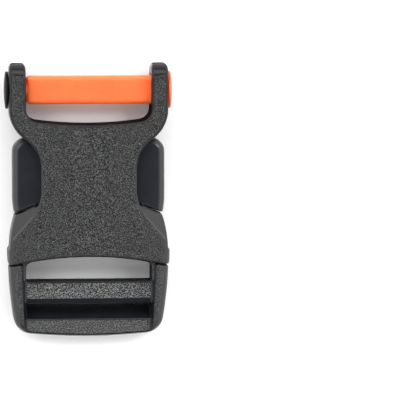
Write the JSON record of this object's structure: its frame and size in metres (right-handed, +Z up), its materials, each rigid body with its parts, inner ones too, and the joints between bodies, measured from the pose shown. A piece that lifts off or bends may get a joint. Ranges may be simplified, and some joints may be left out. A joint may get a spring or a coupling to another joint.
{
  "type": "side release buckle",
  "caption": "Fastened side release buckle for flat webbing, with squeeze arms in side windows, a webbing adjuster and an orange strap bar between two ears.",
  "frame": {"origin": "on the surface the buckle lies on, under the middle of its outline", "axes": "+Y along the webbing from the plug's end to the ears of the strap bar, +Z up from the back to the crowned front, +X across the webbing towards the strap bar's orange head"},
  "size_m": [0.0344, 0.0562, 0.0096],
  "materials": {
    "socket": "fine spark-eroded grain on the front, smooth on the ears' sides and the hips",
    "strap_bar": "satin",
    "bar_cap": "satin",
    "plug": "satin arms, fine grain on the bars and rails"
  },
  "bodies": {
    "root": {"socket": "socket", "strap_bar": "strap_bar", "bar_cap": "bar_cap", "plug": "plug"}
  },
  "joints": []
}
